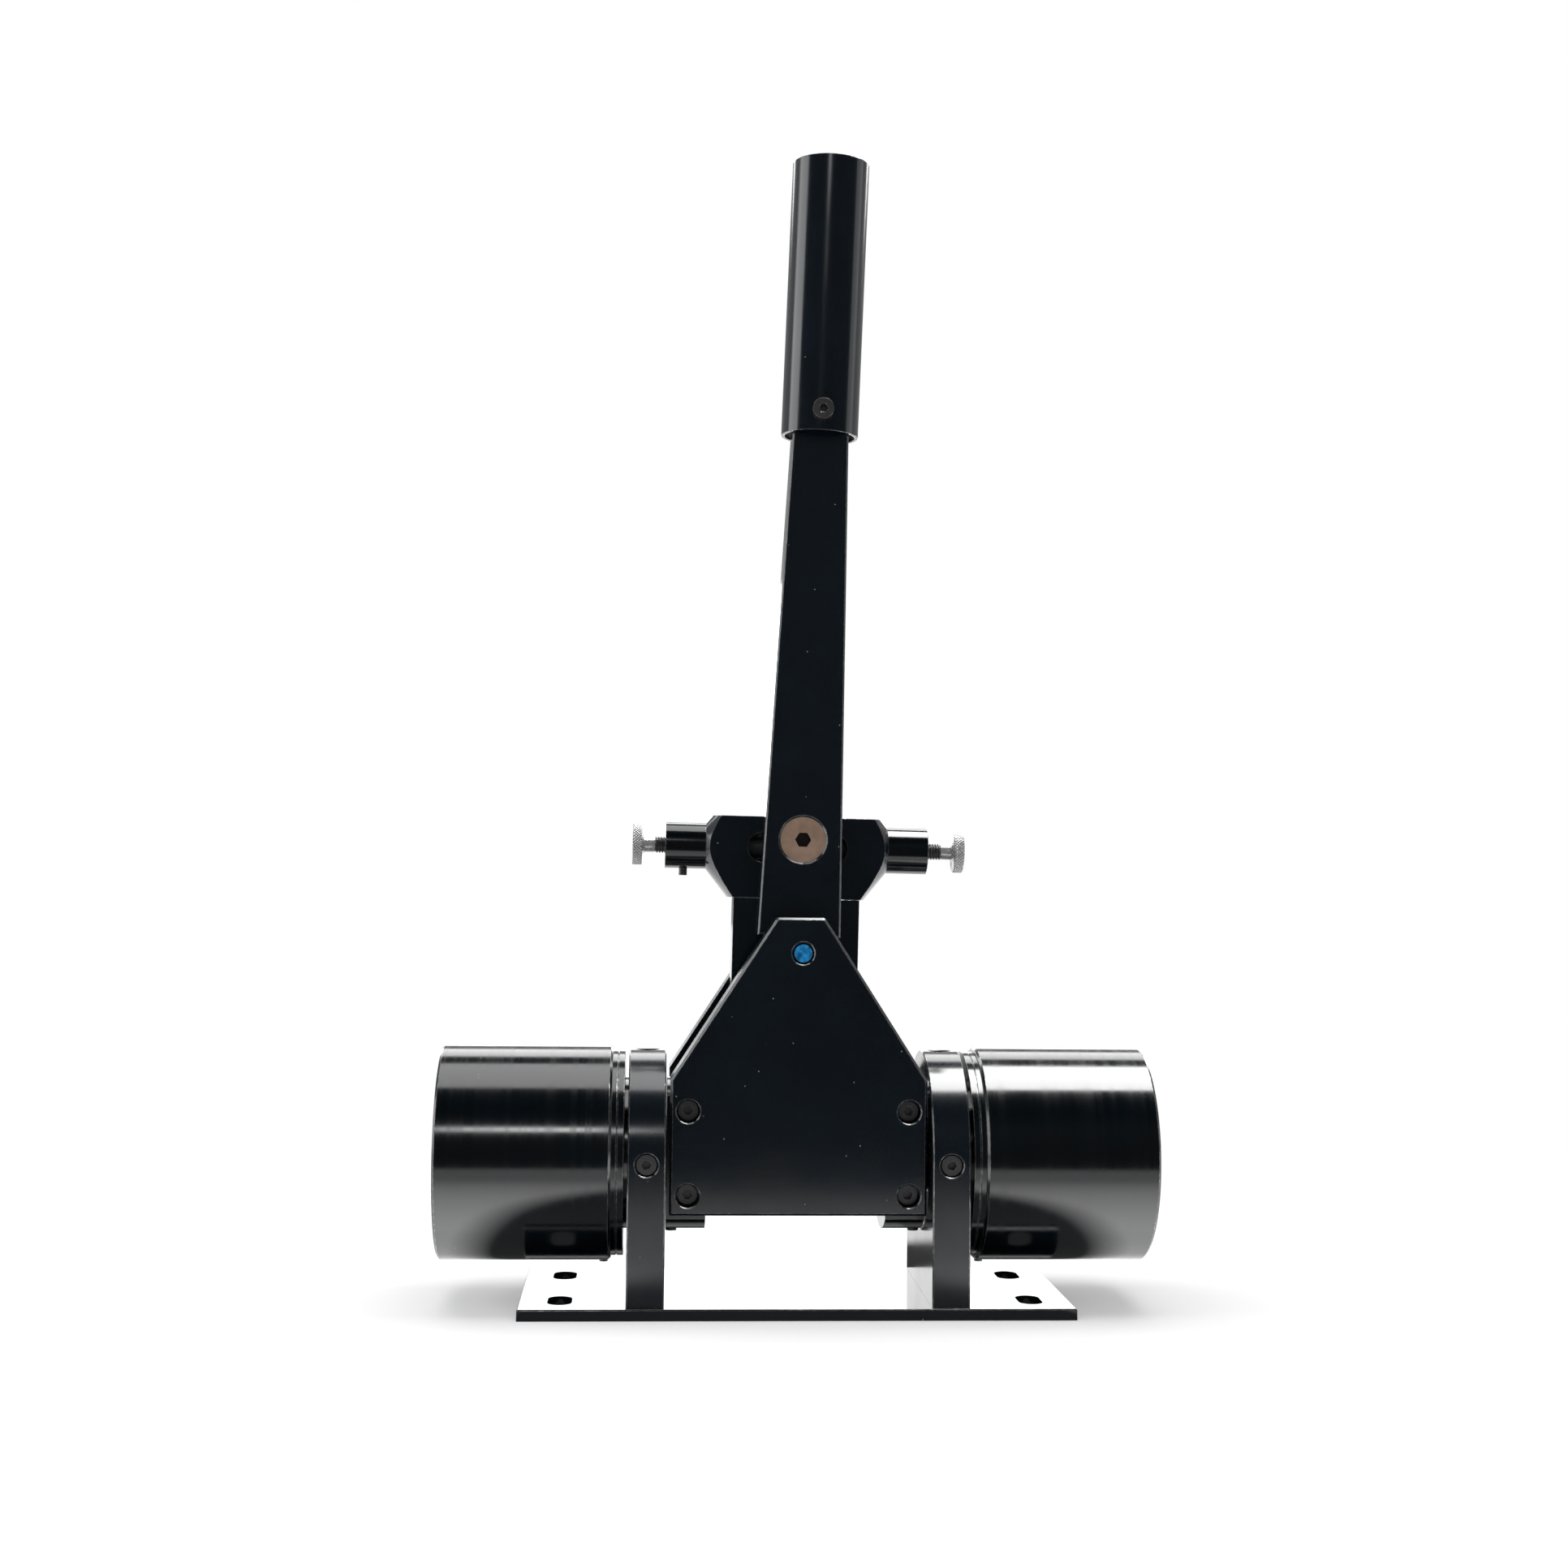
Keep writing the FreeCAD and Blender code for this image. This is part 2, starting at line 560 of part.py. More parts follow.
pin_seat = PLATE_FACE - PIN_CBORE_DEPTH
pin_shoulder = ROCKER_FRONT - END_PLAY
pin_end = PIN_END_INSET - PLATE_FACE
back_plate = plates["back"].cut(rod(PIN_CBORE_R, on_pin(pin_seat), on_pin(PLATE_FACE)))
back_plate = back_plate.cut(rod(PIN_R + FIT, on_pin(HUB_FLAT), on_pin(pin_seat)))
front_plate = plates["front"].cut(rod(PIN_HOLE_R, on_pin(-PLATE_FACE), on_pin(PIN_HOLE_DEPTH - PLATE_FACE)))
front_plate = front_plate.cut(rod(PIN_THREAD_R + FIT, on_pin(-PLATE_FACE), on_pin(-HUB_FLAT)))
front_plate = front_plate.cut(mouth_chamfer(PIN_HOLE_R, on_pin(-PLATE_FACE), Y_DIR))
back_plate = back_plate.cut(mouth_chamfer(PIN_CBORE_R, on_pin(PLATE_FACE), -Y_DIR))
tilt_pin = rod(PIN_HEAD_R, on_pin(pin_seat), on_pin(pin_seat + PIN_HEAD_H))
tilt_pin = tilt_pin.fuse(rod(PIN_R, on_pin(pin_shoulder), on_pin(pin_seat)))
tilt_pin = tilt_pin.fuse(rod(PIN_THREAD_R, on_pin(pin_end), on_pin(pin_shoulder)))
pin_top = on_pin(pin_seat + PIN_HEAD_H)
tilt_pin = tilt_pin.cut(hexagon(PIVOT_SOCKET, pin_top, pin_top - Y_DIR * SOCKET_DEPTH))
save("front_plate", [front_plate])
save("back_plate", [back_plate])
save("tilt_pin", [tilt_pin])
save("thread_lock", [rod(PIN_THREAD_R, on_pin(pin_end - LOCKER_THICK), on_pin(pin_end))])
save("tilt_spacer", [ring(PIN_SPACER_R, PIN_THREAD_R + FIT, on_pin(-HUB_FLAT), on_pin(pin_shoulder))])
washer_start = on_pin(HUB_FLAT - PIN_WASHER_THICK)
save("tilt_washer", [ring(PIN_WASHER_R, PIN_R + FIT, washer_start, on_pin(HUB_FLAT))])

# ---- rocker ------------------------------------------------------------------------------------


def tilted(shape):
    turned = shape.copy()
    turned.rotate(on_pin(0), Y_DIR, ROCKER_TILT)
    return turned


def on_line(x):
    return V(ROCKER_X + x, BLOCK_Y, BLOCK_Z)


def on_pivot(y):
    return V(PIN_X, y, PIVOT_Z)


post_low = V(ROCKER_X - ROCKER_WIDTH / 2, ROCKER_FRONT, PIN_Z - ROCKER_BELOW)
post_high = V(ROCKER_X + ROCKER_WIDTH / 2, ROCKER_BACK, BLOCK_BOTTOM)
rocker_post = box(post_low, post_high)


def lower_corner(edge):
    bounds = edge.BoundBox
    return bounds.ZMax < post_low.z + FIT and bounds.YLength > FIT and bounds.XLength < FIT


rocker_post = rounded(rocker_post, ROCKER_CORNER_R, lower_corner)
rocker_post = rocker_post.cut(rod(PIN_BUSH_R + FIT, on_pin(ROCKER_FRONT), on_pin(ROCKER_BACK)))
profile = [
    V(NOSE_END, 0, 0),
    V(NOSE_END, 0, NOSE_R),
    V(NOSE_END - (NOSE_ROOT_R - NOSE_R) / NOSE_SLOPE, 0, NOSE_ROOT_R),
    V((NOSE_ROOT_R - NOSE_R) / NOSE_SLOPE - NOSE_END, 0, NOSE_ROOT_R),
    V(-NOSE_END, 0, NOSE_R),
    V(-NOSE_END, 0, 0),
    V(NOSE_END, 0, 0),
]
block = Part.Face(Part.makePolygon(profile)).revolve(V(0, 0, 0), X_DIR, 360)
block.translate(on_line(0))
block_low = on_line(-NOSE_END) - V(0, BLOCK_HALF_DEPTH, BLOCK_DOWN)
block_high = on_line(NOSE_END) + V(0, BLOCK_HALF_DEPTH, BLOCK_UP)
block = block.common(box(block_low, block_high))
block = block.cut(rod(POCKET_R, on_pivot(ROCKER_FRONT), on_pivot(ROCKER_FRONT + POCKET_DEPTH)))
block = block.cut(rod(JOURNAL_R + RUN, on_pivot(ROCKER_FRONT), on_pivot(BLOCK_BACK)))
block = block.cut(rod(PLUG_R + RUN, on_line(-NOSE_END), on_line(NOSE_END)))
post_middle = (ROCKER_FRONT + ROCKER_BACK) / 2
block_screws = []
for side in (-1, 1):
    foot = V(ROCKER_X + side * BLOCK_SCREW_X, post_middle, post_low.z)
    hole = cap_screw_hole(foot, Z_DIR, BLOCK_SCREW_CBORE, BLOCK_SCREW_LENGTH)
    rocker_post = rocker_post.cut(hole)
    block = block.cut(hole)
    block_screws.append(tilted(cap_screw(foot + Z_DIR * BLOCK_SCREW_CBORE, Z_DIR, BLOCK_SCREW_LENGTH)))
    block = block.cut(rod(SLEEVE_TAIL_R + FIT, on_line(side * SLEEVE_TAIL_IN), on_line(side * NOSE_END)))
    window = on_line(side * WINDOW_X)
    block = block.cut(rod(WINDOW_R, window - Y_DIR * BLOCK_HALF_DEPTH, window))
save("block_screws", block_screws)
save("rocker_post", [tilted(rocker_post)])
save("rocker_block", [tilted(block)])
bush = ring(PIN_BUSH_R, PIN_R + RUN, on_pin(ROCKER_FRONT), on_pin(ROCKER_BACK))
save("tilt_bush", [tilted(bush)])

# ---- lever ------------------------------------------------------------------------------------


def leant(shape):
    turned = shape.copy()
    turned.rotate(on_pivot(0), Y_DIR, LEVER_LEAN - ROCKER_TILT)
    return tilted(turned)


def half_width(rise):
    return LEVER_HALF - LEVER_TAPER * rise


bar_top = TUBE_START + TUBE_PLUG_INSET
bar_outline = [
    (PIN_X - half_width(-LEVER_DOWN), PIVOT_Z - LEVER_DOWN),
    (PIN_X + half_width(-LEVER_DOWN), PIVOT_Z - LEVER_DOWN),
    (PIN_X + half_width(bar_top), PIVOT_Z + bar_top),
    (PIN_X - half_width(bar_top), PIVOT_Z + bar_top),
]
bar = slab(bar_outline, LEVER_FRONT, LEVER_BACK)
bar = broken(bar, LEVER_EDGE, lambda edge: edge.BoundBox.YLength < FIT and edge.BoundBox.ZMin < TUBE_BOTTOM_Z)
tenon_half = V(TENON_WIDTH / 2, TENON_THICK / 2, 0)
tenon_foot = V(PIN_X, LEVER_Y, TUBE_PLUG_Z)
bar = bar.fuse(box(tenon_foot - tenon_half, tenon_foot + tenon_half + Z_DIR * TENON_LENGTH))
head_top = on_pivot(LEVER_FRONT + PIVOT_HEAD_INSET)
head_seat = head_top + Y_DIR * (PIVOT_HEAD_R - M8_R)
mouth_r = PIVOT_HEAD_R + PIVOT_HEAD_INSET + RUN
bar = bar.cut(taper(mouth_r, M8_R + RUN, on_pivot(LEVER_FRONT), head_seat))
bar = bar.cut(rod(M8_R + FIT, head_seat, on_pivot(LEVER_BACK)))
pivot_bolt = taper(PIVOT_HEAD_R, M8_R, head_top, head_seat)
pivot_bolt = pivot_bolt.fuse(rod(M8_R, head_seat, on_pivot(NUT_END + PIVOT_END_PROUD)))
pivot_bolt = pivot_bolt.cut(hexagon(PIVOT_SOCKET, head_top, head_top + Y_DIR * PIVOT_SOCKET_DEPTH))
journal = rod(JOURNAL_FLANGE_R, on_pivot(LEVER_BACK), on_pivot(FLANGE_BACK))
journal = journal.fuse(rod(JOURNAL_R, on_pivot(FLANGE_BACK), on_pivot(JOURNAL_END)))
journal = journal.cut(rod(M8_R + FIT, on_pivot(LEVER_BACK), on_pivot(JOURNAL_END)))
washer = ring(PIVOT_WASHER_R, M8_R + FIT, on_pivot(JOURNAL_END), on_pivot(WASHER_END))
pivot_nut = hexagon(PIVOT_NUT_FLATS, on_pivot(WASHER_END), on_pivot(NUT_END))
pivot_nut = pivot_nut.cut(rod(M8_R + FIT, on_pivot(WASHER_END), on_pivot(NUT_END)))


def up_tube(z):
    return V(PIN_X, LEVER_Y, z)


tube_top = TUBE_BOTTOM_Z + TUBE_LENGTH
spot = V(PIN_X, TUBE_FRONT + TUBE_SPOT_DEPTH, TUBE_SCREW_Z)
screw_tip = spot + Y_DIR * TUBE_SCREW_LENGTH
screw_hole = rod(M4_R + FIT, spot, screw_tip)
tube = ring(TUBE_R, TUBE_BORE_R, up_tube(TUBE_BOTTOM_Z), up_tube(tube_top))
tube = tube.cut(rod(TUBE_SEAT_R, up_tube(TUBE_BOTTOM_Z), up_tube(TUBE_SEAT_Z)))
tube = tube.cut(rod(TUBE_SPOT_R, spot - Y_DIR * TUBE_SPOT_R, spot))
tube = tube.cut(screw_hole)
tube_plug = rod(TUBE_SEAT_R - FIT, up_tube(TUBE_PLUG_Z), up_tube(TUBE_SEAT_Z))
slip = V(FIT, FIT, 0)
plug_slot = box(tenon_foot - tenon_half - slip, tenon_foot + tenon_half + slip + Z_DIR * TENON_LENGTH)
tube_plug = tube_plug.cut(plug_slot).cut(screw_hole)
bar = bar.cut(screw_hole)
head_end = spot - Y_DIR * TUBE_SCREW_HEAD_H
tube_screw = rod(TUBE_SCREW_HEAD_R, head_end, spot).fuse(rod(M4_R, spot, screw_tip))
tube_screw = tube_screw.cut(hexagon(M4_SOCKET, head_end, head_end + Y_DIR * SOCKET_DEPTH))
for name, shape in (
    ("lever_bar", bar),
    ("pivot_bolt", pivot_bolt),
    ("lever_journal", journal),
    ("pivot_washer", washer),
    ("pivot_nut", pivot_nut),
    ("grip_tube", tube),
    ("tube_plug", tube_plug),
    ("tube_screw", tube_screw),
):
    save(name, [leant(shape)])

# ---- pieces that come in left and right pairs ------------------------------------------------
for name, side in SIDES:
    save("post_" + name, [mirrored(post, side)])
    save("drum_collar_" + name, [mirrored(collar, side)])
    save("drum_shell_" + name, [mirrored(drum, side)])
    save("end_cap_" + name, [mirrored(cap, side)])
    save("pressure_plate_" + name, [mirrored(pressure, side)])
    save("drag_rotor_" + name, [mirrored(rotor, side)])
    save("bearing_outer_" + name, [mirrored(outer_race, side)])
    inner_set = [mirrored(inner_race, side), mirrored(cage, side)]
    for ball in balls:
        inner_set.append(mirrored(ball, side))
    save("bearing_inner_" + name, inner_set)
    save("hub_" + name, [mirrored(hub, side)])
    save("trunnion_shaft_" + name, [mirrored(shaft, side)])

    sleeve = rod(SLEEVE_R, on_line(side * NOSE_END), on_line(side * SLEEVE_END))
    sleeve = sleeve.fuse(rod(SLEEVE_TAIL_R, on_line(side * SLEEVE_TAIL_IN), on_line(side * NOSE_END)))
    sleeve = sleeve.cut(rod(M6_R + RUN, on_line(side * SLEEVE_TAIL_IN), on_line(side * SLEEVE_END)))
    grub_inner = on_line(side * SLEEVE_SCREW_X) - Z_DIR * (M6_R + SLEEVE_SCREW_GAP)
    grub_outer = on_line(side * SLEEVE_SCREW_X) - Z_DIR * (SLEEVE_R + SLEEVE_SCREW_PROUD)
    if side < 0:
        sleeve = sleeve.cut(rod(M3_R + FIT, grub_outer, on_line(side * SLEEVE_SCREW_X)))
        save("sleeve_lock_screw", [tilted(grub_screw(M3_R, grub_outer, grub_inner))])
    save("sleeve_" + name, [tilted(sleeve)])

    plug_tip = V(PIN_X + side * (JOURNAL_R + END_PLAY), BLOCK_Y, BLOCK_Z)
    plug_end = on_line(side * (SLEEVE_TAIL_IN - PLUG_TRAVEL - PLUG_SPARE))
    outward = V(side, 0, 0)
    socket_end = plug_end - outward * PLUG_SOCKET
    plug = rod(PLUG_R, plug_tip, plug_end)
    plug = plug.cut(rod(STUD_TIP_R + RUN, socket_end, plug_end))
    neck_start = on_line(side * SLEEVE_END) + outward * STUD_SHOWS[name]
    knob_start = neck_start + outward * NECK_LENGTH
    knob_end = knob_start + outward * KNOB_LENGTH
    stud_end = neck_start + outward * STUD_IN_KNOB
    stud_start = plug_end + outward * END_PLAY
    stud = rod(M6_R, stud_start, neck_start)
    stud = stud.fuse(rod(STUD_TIP_R, socket_end + outward * END_PLAY, stud_start))
    stud = stud.fuse(rod(STUD_TIP_R, neck_start, stud_end))
    knob = rod(KNOB_R, knob_start, knob_end)
    knob = broken(knob, EDGE, lambda edge: edge.BoundBox.XLength < FIT)
    knob = knob.fuse(rod(NECK_R, neck_start, knob_start))
    knob = knob.cut(rod(STUD_TIP_R + FIT, neck_start, stud_end))
    save("drag_plug_" + name, [tilted(plug)])
    save("stud_" + name, [tilted(stud)])
    save("knob_" + name, [tilted(knob)])
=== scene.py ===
import bpy
import bmesh
import json
import math
from mathutils import Matrix, Vector


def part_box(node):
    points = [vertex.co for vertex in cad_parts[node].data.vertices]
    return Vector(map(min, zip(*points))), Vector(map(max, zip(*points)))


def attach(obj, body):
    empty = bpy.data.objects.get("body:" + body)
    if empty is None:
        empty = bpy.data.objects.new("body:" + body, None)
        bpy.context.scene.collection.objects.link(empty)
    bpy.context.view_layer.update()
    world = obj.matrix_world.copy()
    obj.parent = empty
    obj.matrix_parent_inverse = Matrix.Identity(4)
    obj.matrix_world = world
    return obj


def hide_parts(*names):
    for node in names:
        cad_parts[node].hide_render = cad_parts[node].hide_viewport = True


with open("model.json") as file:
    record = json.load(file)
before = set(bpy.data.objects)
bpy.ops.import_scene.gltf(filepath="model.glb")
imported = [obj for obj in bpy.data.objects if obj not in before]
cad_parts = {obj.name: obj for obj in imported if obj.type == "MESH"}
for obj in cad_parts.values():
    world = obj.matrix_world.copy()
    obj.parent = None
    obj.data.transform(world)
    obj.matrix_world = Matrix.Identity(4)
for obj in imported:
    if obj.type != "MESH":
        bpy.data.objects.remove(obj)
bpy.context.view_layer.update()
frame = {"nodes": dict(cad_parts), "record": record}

SIDES = ("left", "right")
MM = 0.001

# ---- camera, in metres, degrees and millimetres of lens ------------------------------------------
CAMERA_PLACE = Vector((-0.0528, -0.7734, 0.1527))
CAMERA_YAW = 3.56
CAMERA_PITCH = 2.487
CAMERA_ROLL = 0.614
CAMERA_LENS = 48.70

# ---- surface detail ------------------------------------------------------------------------------
EDGE_ROUND = 0.3 * MM         # how softly the shading turns at an edge
ANODISED_WEAR = 0.45 * MM     # width of the rubbed edges
METAL_WEAR = 0.2 * MM
RUBBED = 0.5                  # brightness of a rubbed edge
DUST = 0.42                   # brightness of a speck of dust
ANODISED_IOR = 1.76
DUST_CELLS = 420.0            # pattern scales, in marks per metre
CHIP_MARKS = 700.0
ANODISED_CLOUDS = 38.0
METAL_CLOUDS = 160.0
TURNED_CLOUDS = 230.0
TURNED_RINGS = 900.0
MOULDED_CLOUDS = 520.0
SOCKET_SHADE_TOP = 0.1 * MM         # depths over which painted shade darkens a socket
SOCKET_SHADE_DEEP = 1.0 * MM

# ---- thumb screws --------------------------------------------------------------------------------
KNURL_COUNT = 40              # diamonds round the knob
KNURL_DEPTH = 0.4 * MM
KNURL_POINTS = 8              # points across one diamond
KNURL_STEPS = 34              # steps along the knob
KNOB_THICK = 3.5 * MM
KNOB_RIM = 0.25 * MM
NECK_R = 2.85 * MM
NECK_EDGE = 0.3 * MM
NECK_FLARE = ((1.4, 0.0), (0.6, 0.3), (0.0, 1.1))   # mm short of the head, mm wider than the neck
DISH_DEPTH = 0.15 * MM        # shallow dish in the knob's face
DISH_RIM = 0.45               # shares of the knob's radius
DISH_FOOT = 0.43
DISH_MIDDLE = 0.3 * MM
THREAD_PITCH = 1.0 * MM
THREAD_DEPTH = 0.55 * MM
THREAD_POINTS = 48            # points in one turn
THREAD_ROWS = 10              # rows of points in one pitch
STUD_TIP_R = 2.0 * MM
STUD_GAP = 0.1 * MM           # between the drag plug and the first thread

# ---- studio, where a strength of 1 is white ------------------------------------------------------
STAGE_WHITE = (0.9, 0.9, 0.9, 1)
FLOOR_HALF = 6.0
FADE_START = 0.28             # distances over which shadows fade out of the camera's view
FADE_END = 0.75
SHADOW_FILL = 0.3             # glow added to the lit sheet beside the object
SHEET_GLOW = 0.75             # the sheet in reflections
SHEET_FRONT = 0.29            # its front edge, and the width over which it ends
SHEET_EDGE = 0.02
SHEET_BEYOND = 0.03
PAINTED_STRIP_GLOW = 2.0              # painted pool of light: a brighter strip before the base, added to the sheet
STRIP_START = -0.15
STRIP_FULL = -0.045
STRIP_END = -0.035            # from here the painted light of the strip dims under the object
STRIP_UNDER = 0.3
SHADOW_OVAL_HALF_X = 0.118           # painted shadow of the object: a dark oval under it
SHADOW_OVAL_HALF_Y = 0.125
SHADOW_OVAL_DARK = 0.05
ROOM_DARK = 0.03
ROOM_BACK = 0.35
ROOM_FILL = 0.4


# ---- node helpers --------------------------------------------------------------------------------
class Nodes:
    """Adds shader nodes to a new material or world and links them by socket name."""

    def __init__(self, owner):
        owner.use_nodes = True
        self.owner = owner
        self.tree = owner.node_tree
        self.tree.nodes.clear()

    def put(self, socket, source):
        if isinstance(source, bpy.types.NodeSocket):
            self.tree.links.new(source, socket)
        else:
            socket.default_value = source

    def add(self, kind, links=None, **values):
        node = self.tree.nodes.new("ShaderNode" + kind)
        for key, value in values.items():
            setattr(node, key, value)
        for key, source in (links or {}).items():
            self.put(node.inputs[key], source)
        return node

    def maths(self, operation, *terms):
        return self.add("Math", dict(enumerate(terms)), operation=operation).outputs[0]

    def ramp(self, source, low, high, start, stop):
        """A value that goes from start to stop as the source goes from low to high."""
        links = {"Value": source, "From Min": low, "From Max": high, "To Min": start, "To Max": stop}
        return self.add("MapRange", links).outputs["Result"]

    def blend(self, factor, colour_a, colour_b):
        return self.add("Mix", {0: factor, 6: colour_a, 7: colour_b}, data_type="RGBA").outputs[2]

    def mixed(self, factor, first, second):
        return self.add("MixShader", {0: factor, 1: first, 2: second}).outputs["Shader"]

    def separated(self, vector):
        return self.add("SeparateXYZ", {"Vector": vector}).outputs

    def length(self, vector):
        return self.add("VectorMath", {0: vector}, operation="LENGTH").outputs["Value"]

    def surface(self, shader):
        self.add("OutputMaterial", {"Surface": shader})
        return self.owner

    def principled(self, links):
        return self.surface(self.add("BsdfPrincipled", links).outputs["BSDF"])


def material_nodes(name):
    return Nodes(bpy.data.materials.new(name))


def grey(value):
    return (value, value, value, 1)


def shaded(colour, share):
    return tuple(share * c for c in colour[:3]) + (1,)


def stretched(nodes, scale=(1, 1, 1)):
    """Object coordinates stretched by a scale for each axis, in marks per metre."""
    place = nodes.add("TexCoord").outputs["Object"]
    return nodes.add("Mapping", {"Vector": place, "Scale": scale}).outputs["Vector"]


def noise(nodes, vector, scale, detail, roughness=0.5):
    links = {"Vector": vector, "Scale": scale, "Detail": detail, "Roughness": roughness}
    return nodes.add("TexNoise", links).outputs["Fac"]


def dust(nodes, amount):
    """Sparse pale specks: the middles of a few cells of a fine cell pattern."""
    cells = nodes.add("TexVoronoi", {"Vector": stretched(nodes), "Scale": DUST_CELLS})
    speck = nodes.ramp(cells.outputs["Distance"], 0.05, 0.11, 1.0, 0.0)
    chosen = nodes.add("SeparateColor", {"Color": cells.outputs["Color"]}).outputs["Red"]
    pick = nodes.ramp(chosen, 1.0 - amount, 1.0 - amount + 0.01, 0.0, 1.0)
    return nodes.maths("MULTIPLY", speck, pick)


def worn_edge(nodes, width):
    """One on a sharp edge and zero away from it, broken up by noise."""
    soft = nodes.add("Bevel", {"Radius": width}, samples=4).outputs["Normal"]
    hard = nodes.add("NewGeometry").outputs["Normal"]
    same = nodes.add("VectorMath", {0: soft, 1: hard}, operation="DOT_PRODUCT").outputs["Value"]
    edge = nodes.ramp(same, 0.985, 0.9, 0.0, 1.0)
    chips = nodes.ramp(noise(nodes, stretched(nodes), CHIP_MARKS, 4.0), 0.45, 0.62, 0.15, 1.0)
    return nodes.maths("MULTIPLY", edge, chips)


def grain_bump(nodes, scale, strength, distance):
    """Fine lines, noise stretched along one axis, as a bump on softly rounded edges."""
    lines = noise(nodes, stretched(nodes, scale), 1.0, 4.0, 0.65)
    rounded = nodes.add("Bevel", {"Radius": EDGE_ROUND}, samples=4).outputs["Normal"]
    links = {"Height": lines, "Strength": strength, "Distance": distance, "Normal": rounded}
    return lines, nodes.add("Bump", links).outputs["Normal"]


# ---- materials -----------------------------------------------------------------------------------
def anodised(name, scale, colour, rough_low, rough_high, dust_amount, bands=None):
    """Black anodised aluminium: fine tool lines, mottled gloss, dust and rubbed edges.

    bands is the scale of broad streaks in the gloss, on turned surfaces.
    """
    nodes = material_nodes(name)
    lines, normal = grain_bump(nodes, scale, 0.08, 0.01 * MM)
    cloud = noise(nodes, stretched(nodes), ANODISED_CLOUDS, 5.0, 0.6)
    tint = nodes.blend(nodes.ramp(cloud, 0.35, 0.7, 0.0, 1.0), colour, shaded(colour, 0.6))
    bare = worn_edge(nodes, ANODISED_WEAR)
    rubbed = nodes.blend(bare, tint, grey(RUBBED))
    dusty = nodes.blend(dust(nodes, dust_amount), rubbed, grey(DUST))
    patchy = nodes.ramp(cloud, 0.3, 0.75, rough_low, rough_high)
    streak = nodes.ramp(lines, 0.3, 0.7, -0.02, 0.02)
    rough = nodes.maths("ADD", patchy, streak)
    if bands:
        broad = nodes.ramp(noise(nodes, stretched(nodes, bands), 1.0, 5.0, 0.7), 0.4, 0.62, 0.0, 0.05)
        rough = nodes.maths("ADD", rough, broad)
    metallic = nodes.ramp(bare, 0.0, 1.0, 0.0, 0.95)
    links = {"Base Color": dusty, "Roughness": rough, "Metallic": metallic, "Normal": normal}
    return nodes.principled({**links, "IOR": ANODISED_IOR})


def metal(name, colour, rough, scale, edge=None, metallic=1.0):
    """Bare or blackened metal: fine machining lines, slight stains and, with edge, rubbed edges."""
    nodes = material_nodes(name)
    lines, normal = grain_bump(nodes, scale, 0.2, 0.015 * MM)
    cloud = noise(nodes, stretched(nodes), METAL_CLOUDS, 4.0)
    tint = nodes.blend(nodes.ramp(cloud, 0.3, 0.7, 0.0, 1.0), colour, shaded(colour, 0.72))
    if edge:
        tint = nodes.blend(worn_edge(nodes, METAL_WEAR), tint, edge)
    roughness = nodes.ramp(lines, 0.25, 0.75, rough - 0.06, rough + 0.1)
    links = {"Base Color": tint, "Roughness": roughness, "Normal": normal, "Metallic": metallic}
    return nodes.principled(links)


def turned_face(name, colour, rough, metallic, centre, axis_turn, face_y):
    """Metal with rings turned about a centre, with painted shade in the socket recessed behind its face
    at face_y.
    """
    nodes = material_nodes(name)
    place = nodes.add("TexCoord").outputs["Object"]
    links = {"Vector": place, "Location": centre, "Rotation": axis_turn}
    about = nodes.add("Mapping", links, vector_type="TEXTURE").outputs["Vector"]
    links = {"Vector": about, "Scale": TURNED_RINGS, "Distortion": 0.6, "Detail": 3.0}
    rings = nodes.add("TexWave", links, wave_type="RINGS", rings_direction="Z").outputs["Fac"]
    links = {"Height": rings, "Strength": 0.25, "Distance": 0.01 * MM}
    normal = nodes.add("Bump", links).outputs["Normal"]
    cloud = noise(nodes, place, TURNED_CLOUDS, 4.0)
    tint = nodes.blend(nodes.ramp(cloud, 0.3, 0.7, 0.0, 1.0), colour, shaded(colour, 0.7))
    depth = nodes.separated(place)["Y"]
    # painted shade: the socket turns near black with depth behind the head's face
    painted_socket_shade = nodes.ramp(depth, face_y + SOCKET_SHADE_TOP, face_y + SOCKET_SHADE_DEEP, 0.0, 0.93)
    tint = nodes.blend(painted_socket_shade, tint, grey(0.01))
    roughness = nodes.ramp(rings, 0.0, 1.0, rough, rough + 0.12)
    links = {"Base Color": tint, "Roughness": roughness, "Normal": normal, "Metallic": metallic}
    return nodes.principled(links)


def moulded(name, colour, rough, speckle=0.0):
    """Plastic, resin or friction lining with a slight mottle."""
    nodes = material_nodes(name)
    cloud = noise(nodes, stretched(nodes), MOULDED_CLOUDS, 4.0)
    paler = tuple(min(1.0, c * (1.25 + speckle)) for c in colour[:3]) + (1,)
    tint = nodes.blend(nodes.ramp(cloud, 0.4, 0.65, 0.0, 1.0), colour, paler)
    links = {"Height": cloud, "Strength": 0.2, "Distance": 0.03 * MM}
    normal = nodes.add("Bump", links).outputs["Normal"]
    roughness = nodes.ramp(cloud, 0.3, 0.7, rough, rough + 0.08)
    return nodes.principled({"Base Color": tint, "Roughness": roughness, "Normal": normal})


def box_centre(node):
    low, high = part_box(node)
    return (Vector(low) + Vector(high)) / 2


ALONG_X = (60.0, 2600.0, 2600.0)
ALONG_Z = (2600.0, 2600.0, 60.0)
ROUND_X = (3200.0, 12.0, 12.0)
ROUND_BANDS = (260.0, 3.0, 3.0)
BLACK = (0.0055, 0.0112, 0.0175, 1)
DEEP_BLACK = (0.0022, 0.005, 0.0075, 1)

